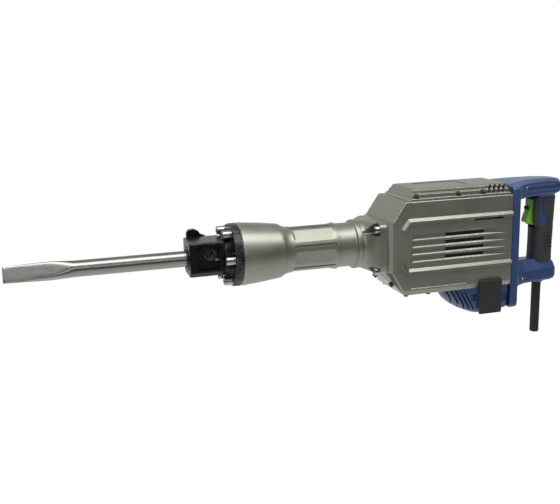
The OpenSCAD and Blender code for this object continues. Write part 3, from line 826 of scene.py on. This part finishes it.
def housing_openings():
    """Louvres and a slot on both sides, and the ways into the hollow."""
    cuts = []
    for side in SIDES:
        for z in LOUVRES:
            cuts.append(louvre(side, z))
        cuts.append(side_prism("slot", rounded(560, 626, 39.6, 44.4, 2), side * 58, side * 74))
    cuts.append(rod("bore", BARREL_BORE, 370, 398, steps=64))
    cuts.append(block("top_opening", 436, 632, -45, 45, 76, 87))
    cuts.append(rod("tail_opening", 58, -104, -90, "Z", (TAIL_X, 0, 0), 64))
    cuts.append(block("tail_opening", TAIL_X, 650, -58, 58, -104, -90))
    cuts += [rod("bolt_bore", 5.1, 374, 396, at=(0, y, z), steps=24)
             for y in CASE_BOLT_Y for z in CASE_BOLT_Z]
    cuts.append(block("trim_rear", BODY_REAR + 0.1, 660, -80, 80, -110, 90))
    return cuts


def make_housing():
    solid = housing_shell()
    for ridge in housing_ridges():
        combine(solid, [ridge], "UNION")
    combine(solid, housing_openings(), "DIFFERENCE")
    stand_for(solid, "main_housing", 28)


# Screws along both flanges of the top cover, and slanted vents behind them
TOP_SCREW_X = (440, 530, 584)
TOP_SCREW_Y = 56.5
VENT_COUNT = 4
VENT_X = 593
VENT_STEP = 10.5


def make_top_cover():
    # Half of the cross-section, from the foot of the flange to the crown
    half = [(61, 86.3), (61, 89), (60, 90.2), (55.5, 90.2), (54.2, 97), (51, 98.6), (49.6, 98.6),
            (48, 104.4), (43.5, 107)]
    section = [(-y, z) for y, z in half] + [(y, z) for y, z in reversed(half)]
    solid = cross_prism("top_casting", section, 412, 646)
    outline = [(425, 86.3), (429, 91), (436.4, 105.6), (439, 107.2), (638, 107.4), (640.5, 106),
               (643.6, 86.2)]
    combine(solid, [side_prism("limits", outline, -70, 70)], "INTERSECT")
    round_edges(solid, 1.0, 2, 24)
    hollow = cross_prism("hollow", [(-56, 80), (-51, 95), (-45, 102.5), (45, 102.5), (51, 95),
                                    (56, 80)], 441, 636)
    combine(solid, [hollow], "DIFFERENCE")
    cuts = []
    for side in SIDES:
        for i in range(VENT_COUNT):
            x = VENT_X + VENT_STEP * i
            cuts.append(side_prism("vent", [(x, 91.6), (x + 5, 91.6), (x + 14, 105.4),
                                            (x + 9, 105.4)], side * 40, side * 70))
    cuts.append(flat_prism("recess", rounded(468, 566, -31, 31, 9), 106.0, 109))
    for x in TOP_SCREW_X:
        for y in (-TOP_SCREW_Y, TOP_SCREW_Y):
            cuts.append(rod("screw_bore", 2.7, 80, 92, "Z", (x, y, 0), 20))
            cuts.append(rod("screw_seat", 5.2, 89.9, 99, "Z", (x, y, 0), 28))
    combine(solid, cuts, "DIFFERENCE")
    stand_for(solid, "top_cover", 28)


# Tail cover by height: front reach, side inset, rear inset
BOWL = [(-99.4, 0, 0, 0), (-112, 2, 0, 0), (-124, 7, 0.4, 0), (-136, 16, 1, 0.5),
        (-145, 27, 3, 1.5), (-151, 37, 7, 4), (-154.6, 46, 12, 8), (-156, 52, 17, 14)]


TAIL_R = 62.6
TAIL_REAR = 646.4
TAIL_CORNER = 8
TAIL_WALL = 5
TAIL_LOUVRES = 5
TAIL_LOUVRE_X = 520.5
TAIL_LOUVRE_STEP = 6.6
# Screw pockets: X, Z, and how far out the wall stands there
TAIL_POCKETS = [(566, -119, 61), (634, -123, 62.6)]


def bowl_loop(z, reach, side, rear, shrink):
    """The tail cover's outline at one height: a half round in front and two
    rounded corners behind, all drawn in by shrink."""
    points = []
    radius = TAIL_R - shrink - side
    for k in range(25):
        a = math.pi / 2 + math.pi * k / 24
        points.append((TAIL_X + (TAIL_R - shrink - reach) * math.cos(a), radius * math.sin(a), z))
    x1 = TAIL_REAR - shrink - rear
    for y, start in ((TAIL_CORNER - radius, -math.pi / 2), (radius - TAIL_CORNER, 0)):
        for k in range(7):
            a = start + math.pi / 2 * k / 6
            points.append((x1 - TAIL_CORNER + TAIL_CORNER * math.cos(a),
                           y + TAIL_CORNER * math.sin(a), z))
    return points


def make_tail_cover():
    solid = loft("tail_shell", [bowl_loop(*row, 0) for row in BOWL])
    inner = [bowl_loop(-90, 0, 0, 0, TAIL_WALL)]
    inner += [bowl_loop(z + TAIL_WALL, reach, side, rear, TAIL_WALL)
              for z, reach, side, rear in BOWL]
    combine(solid, [loft("hollow", inner)], "DIFFERENCE")
    boss = rod("bearing_boss", 16, -152, -132, "Z", LOWER_BEARING)
    combine(solid, [boss], "UNION")
    cuts = [rod("bearing_seat", 11.1, -143, -120, "Z", LOWER_BEARING)]
    for side in SIDES:
        for i in range(TAIL_LOUVRES):
            x = TAIL_LOUVRE_X + TAIL_LOUVRE_STEP * i
            cuts.append(side_prism("louvre", [(x, -107), (x + 2.6, -107), (x + 24, -147),
                                              (x + 21.4, -147)], side * 14, side * 70))
        for x, z, y in TAIL_POCKETS:
            pocket = rounded(x - 6.5, x + 6.5, z - 9, z + 7, 2)
            cuts.append(side_prism("pocket", pocket, side * (y - 3.2), side * (y + 6)))
    cuts.append(block("step", 628, 660, -80, 80, -160, -148))
    combine(solid, cuts, "DIFFERENCE")
    posts = []
    for x, y in ((548, 50), (640, 55.5)):
        for side in SIDES:
            posts.append(rod("post", 5, -112, -99.6, "Z", (x, side * y, 0), 24))
    combine(solid, posts, "UNION")
    bores = [rod("bore", 2.62, -109, -98, "Z", (x, side * y, 0), 20)
             for x, y in ((548, 50), (640, 57)) for side in SIDES]
    combine(solid, bores, "DIFFERENCE")
    stand_for(solid, "tail_cover")


def make_brush_covers():
    things = []
    for side in SIDES:
        cover = side_prism("cover", rounded(574, 624, -153, -83, 3, 4), side * 66.8, side * 71.2)
        round_edges(cover, 1.1, 3)
        lip = side_prism("lip", rectangle(575, 623, -87, -83), side * 66.9, side * 72.6)
        round_edges(lip, 0.9, 2)
        pad = block("pad", 577, 621, side * 63.3, side * 68, -150, -101)
        things.append(combine(cover, [lip, pad], "UNION"))
    stand_for(joined("carbon_covers", things), "brush_covers")


# ---------------------------------------------------------------- handle

def arm_section(x, half, z0, z1, low_slope, top_slope, drop):
    """An arm's cross-section: half width, bottom, top, the lower bevel, how
    far the top slopes in, and how far down the shoulder lies."""
    side = [(half * 0.72, z0), (half - 2, z0 + low_slope * 0.35), (half, z0 + low_slope),
            (half, z1 - drop), (half - 1.2, z1 - drop + 1.5), (half - top_slope, z1 - 1.4),
            (half - top_slope - 3, z1)]
    return [(x, -y, z) for y, z in side] + [(x, y, z) for y, z in reversed(side)]


UPPER_ARM = [(650, 61, 67, 102.5, 10, 16, 6), (664, 58, 67, 104, 9, 16, 6.5),
             (678, 49, 69, 105.5, 6, 14, 7), (700, 39, 70, 106.6, 6, 11, 7),
             (740, 31, 71, 107, 6, 9, 7), (772, 26, 72, 105.6, 6, 8, 7.5),
             (783, 23.5, 74, 104, 6, 8, 8), (788.4, 19.5, 77, 101, 5, 7, 7),
             (790.6, 14, 81, 97, 4, 5, 5)]
LOWER_ARM = [(650, 61, -120, -66, 8, 26, 26), (664, 56, -117, -65, 8, 26, 24),
             (680, 44, -113.5, -64.5, 6, 22, 23), (702, 35, -112, -64.5, 6, 18, 22),
             (740, 29, -112, -65, 6, 13, 20), (768, 26, -112, -67, 6, 10, 18),
             (779, 23, -110.5, -71, 6, 8, 14), (784.6, 18, -107, -77, 5, 6, 10),
             (786.6, 12, -102, -83, 4, 4, 6)]
# Grip by height: centre X, half length, half width
GRIP = [(-74, 755, 24, 21), (-60, 755, 22.6, 20.5), (-30, 755.4, 22.2, 20),
        (0, 756, 22.8, 20.4), (30, 756.6, 23.8, 20.8), (56, 757, 24.2, 21), (76, 757, 26, 22)]


def oval(z, x, a, b, power=2.5, steps=56):
    loop = []
    for k in range(steps):
        t = 2 * math.pi * k / steps
        c = math.cos(t)
        s = math.sin(t)
        r = ((abs(c) / a) ** power + (abs(s) / b) ** power) ** (-1 / power)
        loop.append((x + r * c, r * s, z))
    return loop


def grip_at(z, grow=0.0):
    x = through(GRIP, z, 1)
    a = through(GRIP, z, 2)
    b = through(GRIP, z, 3)
    return oval(z, x, a + grow, b + grow)


# Arm screws: X, Z, and how far out their heads stand
ARM_SCREWS = [(694, 90, 42), (694, -101, 39)]
SCREW_HEAD_R = 4.8
CORD_AT = (752, 0, 0)
# Half width of the hollow that runs under the crown of the upper arm
CROWN_HOLLOW = [(688, 44.5), (700, 36.2), (740, 28.4), (768, 24), (780, 21)]


def grip_slice(name, z0, z1, step, grow=0.0):
    """The grip between two heights, grown outwards all round."""
    return loft(name, [grip_at(z, grow) for z in stations_between(z0, z1, step)])


def handle_block():
    """Rear plate, both arms and grip in one, before its edges are softened."""
    plate = cross_prism("handle_plate", rounded(-65.6, 65.6, -150, 101, 12, 6), 647.2, 665)
    round_edges(plate, 3.2, 3)
    parts = [loft("upper_arm", [arm_section(*row) for row in UPPER_ARM]),
             loft("lower_arm", [arm_section(*row) for row in LOWER_ARM]),
             grip_slice("grip", -72, 76, 6),
             turned("collar", [(-118, 0), (-118, 12.4), (-116.6, 14), (-108, 14.6), (-108, 0)],
                    "Z", CORD_AT),
             cross_prism("bulge", rounded(-60, 60, 22, 64, 10), 655, 667.4),
             block("web", 655, 668, -40, 40, -70, -58),
             block("web", 655, 670, -44, 44, 58, 72)]
    combine(plate, parts, "UNION")
    dents = []
    for side in SIDES:
        outline = [(x, side * y) for x, y in CROWN_HOLLOW + [(780, 60), (688, 60)]]
        dents.append(flat_prism("hollow", outline, 83.5, 95))
    return combine(plate, dents, "DIFFERENCE")


def one_skin(thing):
    """Melts the parts into one moulded skin with soft inner corners."""
    skin = thing.modifiers.new("one skin", "REMESH")
    skin.mode = "VOXEL"
    skin.voxel_size = 1.5 * MM
    bake_modifiers(thing)
    relax = thing.modifiers.new("relax", "SMOOTH")
    relax.factor = 0.5
    relax.iterations = 4
    bake_modifiers(thing)
    slim = thing.modifiers.new("slim", "DECIMATE")
    slim.ratio = 0.22
    bake_modifiers(thing)
    return thing


def handle_openings():
    """Room for the plate's fittings, the switch, the trigger and the cord."""
    cuts = [
        block("plate_room", 640, 656.5, -60, 60, -144, 64),
        block("tail_room", 640, 647.25, -90, 90, -170, 120),
        block("arm_room", 666, 772, -16, 16, 75, 98),
        block("grip_room", 734, 772, -13, 13, -106, 98),
        block("trigger_slot", 710, 742, -11, 11, 1, 69.5),
        rod("cord_bore", 9.6, -140, -105, "Z", CORD_AT),
    ]
    for side in SIDES:
        for x, z, top in ARM_SCREWS:
            cuts.append(rod("screw_pocket", SCREW_HEAD_R + 0.4, side * (top - 6.1), side * 60,
                            "Y", (x, 0, z), 32))
    return cuts


def make_handle():
    whole = one_skin(handle_block())
    combine(whole, handle_openings(), "DIFFERENCE")
    for side, node in ((-1, "handle_left"), (1, "handle_right")):
        half = placed(node + "_shell", whole.data.copy())
        keep = block("keep", 600, 850, side * 0.05, side * 120, -200, 200)
        combine(half, [keep], "INTERSECT")
        stand_for(half, node, 40)
    discard(whole)


def make_arm_screws():
    """Domed screw heads with a cross recess."""
    heads = []
    for side in SIDES:
        for x, z, top in ARM_SCREWS:
            head = rod("head", SCREW_HEAD_R, side * (top - 6), side * top, "Y", (x, 0, z), 32, 2.0)
            y0, y1 = side * (top - 2.5), side * (top + 1)
            cross = [block("cross", x - 3, x + 3, y0, y1, z - 0.6, z + 0.6),
                     block("cross", x - 0.6, x + 0.6, y0, y1, z - 3, z + 3)]
            heads.append(combine(head, cross, "DIFFERENCE"))
    stand_for(joined("arm_screws", heads), "handle_screws")


# The rubber starts just off the grip's own surface
CORE_GROW = 0.05
RIB_COUNT = 6
RIB_STEP = 7.5


def grip_core():
    return grip_slice("core", 0, 74, 6, CORE_GROW)


def grip_sleeve():
    """Rubber all round the grip's lower half, thinner near its ends."""
    solid = loft("sleeve", [grip_at(z, 1.7 - 1.4 * (abs(z + 31) > 36)) for z in
                            [-70] + stations_between(-67, 5, 4) + [8]])
    core = grip_slice("core", -78, 14, 6, CORE_GROW)
    return combine(solid, [core, block("slot", 700, 734.5, -11.5, 11.5, 1, 12)], "DIFFERENCE")


def grip_rib(z, side):
    """A slanted rib on one side of the grip."""
    rib = side_prism("rib", round_corners([(754, z), (774, z + 5), (774, z + 7.6),
                                           (754, z + 2.6)], 1, 3), side * 12, side * 24)
    combine(rib, [loft("limit", [grip_at(h, 2.9) for h in (-62, -30, 0, 6)])], "INTERSECT")
    return combine(rib, [loft("core", [grip_at(h, 1.2) for h in (-64, -30, 0, 8)])],
                   "DIFFERENCE")


def rear_strip():
    """The strip that carries the rubber up the back of the grip."""
    strip = grip_slice("strip", 5, 67, 6, 1.2)
    edge = [(760, 5), (757.5, 9), (757.5, 26), (748.5, 34), (747.5, 50), (747.5, 66), (800, 66),
            (800, 5)]
    combine(strip, [side_prism("edge", round_corners(edge, 3, 4), -40, 40)], "INTERSECT")
    return combine(strip, [grip_core()], "DIFFERENCE")


def front_strip():
    """The strip that runs up on both sides of the trigger, with cheeks."""
    front = grip_slice("front_strip", 5, 67, 6, 1.0)
    combine(front, [block("limit", 720, 738.5, -40, 40, 0, 80)], "INTERSECT")
    cheeks = []
    for side in SIDES:
        cheek = side_prism("cheek", round_corners([(729.5, 67), (728, 40), (728, 14), (732, 5.2),
                                                   (745, 5.2), (745, 67)], 3),
                           side * 13, side * 17.6)
        cheeks.append(round_edges(cheek, 1.4, 3))
    combine(front, cheeks, "UNION")
    return combine(front, [grip_core(), block("trigger_room", 700, 745, -13, 13, 1, 80)],
                   "DIFFERENCE")


def make_grip_rubber():
    solid = grip_sleeve()
    ribs = [grip_rib(-46 + RIB_STEP * i, side) for i in range(RIB_COUNT) for side in SIDES]
    combine(solid, ribs + [rear_strip(), front_strip()], "UNION")
    stand_for(solid, "grip_rubber", 35)


def make_trigger():
    outline = round_corners([(727, 62), (722, 42), (715, 22), (713.4, 16), (716, 13), (731, 7.4),
                             (744, 11), (747, 57), (742, 62.6)], 3, 4)
    solid = side_prism("trigger_lever", outline, -9.4, 9.4)
    round_edges(solid, 2.4, 4, 24)
    cuts = [rod("pin_bore", 2.58, -12, 12, "Y", (738, 0, 56), 32),
            rod("button_bore", 4.3, 700, 734.5, at=(0, 0, 44), steps=32)]
    combine(solid, cuts, "DIFFERENCE")
    stand_for(solid, "trigger")


def make_cord_guard():
    profile = [(-230, 5.35), (-230, 8.4), (-228.6, 9.5), (-128, 9.5), (-124, 9.9), (-119, 9.5),
               (-107, 9.5), (-107, 5.35)]
    solid = turned("guard_tube", profile, "Z", CORD_AT, 48)
    stand_for(solid, "cord_guard")


make_chisel()
make_front_cover()
make_lever()
make_bolts()
make_barrel()
make_housing()
make_top_cover()
make_tail_cover()
make_brush_covers()
make_handle()
make_arm_screws()
make_grip_rubber()
make_trigger()
make_cord_guard()


# ---------------------------------------------------------------- setting

# Half of (height + 1), brightness, blue against red and green
NEAR_SKY = [(0.0, 0.95, 1.03), (0.25, 0.70, 1.04), (0.42, 0.08, 0.95), (0.60, 0.06, 0.85),
            (0.74, 0.15, 0.9), (0.86, 0.45, 1.0), (1.0, 0.60, 1.0)]
FAR_SKY = [(0.0, 0.95, 1.03), (0.30, 0.70, 1.03), (0.50, 0.62, 1.0), (0.66, 0.75, 1.0),
           (0.80, 0.40, 1.03), (1.0, 0.55, 1.0)]
# The near sky turns into the far one between these values of the direction's Y
NEAR_TO_FAR = (-0.15, 0.35)


def area_light(name, at, target, size, power):
    """A lamp at one point, facing another; its size is in metres."""
    data = bpy.data.lights.new(name, "AREA")
    data.shape = "RECTANGLE"
    data.size, data.size_y = size
    data.energy = power
    lamp = placed(name, data)
    lamp.location = Vector(at) * MM
    aim = (Vector(target) - Vector(at)).normalized()
    lamp.rotation_euler = aim.to_track_quat("-Z", "Y").to_euler()


def sky(tree, height, rows):
    """Colours by height from rows of (height, brightness, warmth)."""
    stops = [(position, (level, level, level * blue, 1)) for position, level, blue in rows]
    return ramp(tree, height, stops, "EASE")


def make_world():
    """A studio that lights and mirrors in the object; the picture's own
    background stays white."""
    world = bpy.data.worlds.new("surroundings")
    bpy.context.scene.world = world
    world.use_nodes = True
    tree = world.node_tree
    back = tree.nodes["Background"]
    place = tree.nodes.new("ShaderNodeTexCoord")
    parts = tree.nodes.new("ShaderNodeSeparateXYZ")
    tree.links.new(place.outputs["Generated"], parts.inputs["Vector"])
    height = tree.nodes.new("ShaderNodeMapRange")
    height.inputs["From Min"].default_value = -1.0
    tree.links.new(parts.outputs["Z"], height.inputs["Value"])

    side = tree.nodes.new("ShaderNodeMapRange")
    side.interpolation_type = "SMOOTHSTEP"
    side.inputs["From Min"].default_value = NEAR_TO_FAR[0]
    side.inputs["From Max"].default_value = NEAR_TO_FAR[1]
    tree.links.new(parts.outputs["Y"], side.inputs["Value"])
    both = mixed(tree, side.outputs["Result"], sky(tree, height.outputs["Result"], NEAR_SKY),
                 sky(tree, height.outputs["Result"], FAR_SKY))
    tree.links.new(both, back.inputs["Color"])

    white = add_node(tree, "ShaderNodeBackground", Color=(1, 1, 1, 1))
    path = tree.nodes.new("ShaderNodeLightPath")
    mix = tree.nodes.new("ShaderNodeMixShader")
    tree.links.new(path.outputs["Is Camera Ray"], mix.inputs["Fac"])
    tree.links.new(back.outputs["Background"], mix.inputs[1])
    tree.links.new(white.outputs["Background"], mix.inputs[2])
    tree.links.new(mix.outputs["Shader"], tree.nodes["World Output"].inputs["Surface"])


make_world()
area_light("overhead", (200, -490, 1300), (250, 0, 0), (2.4, 0.85), 25)
area_light("front", (-300, -1900, 700), (300, 0, 0), (1.6, 0.6), 3.5)

bpy.context.scene.view_settings.view_transform = "Standard"
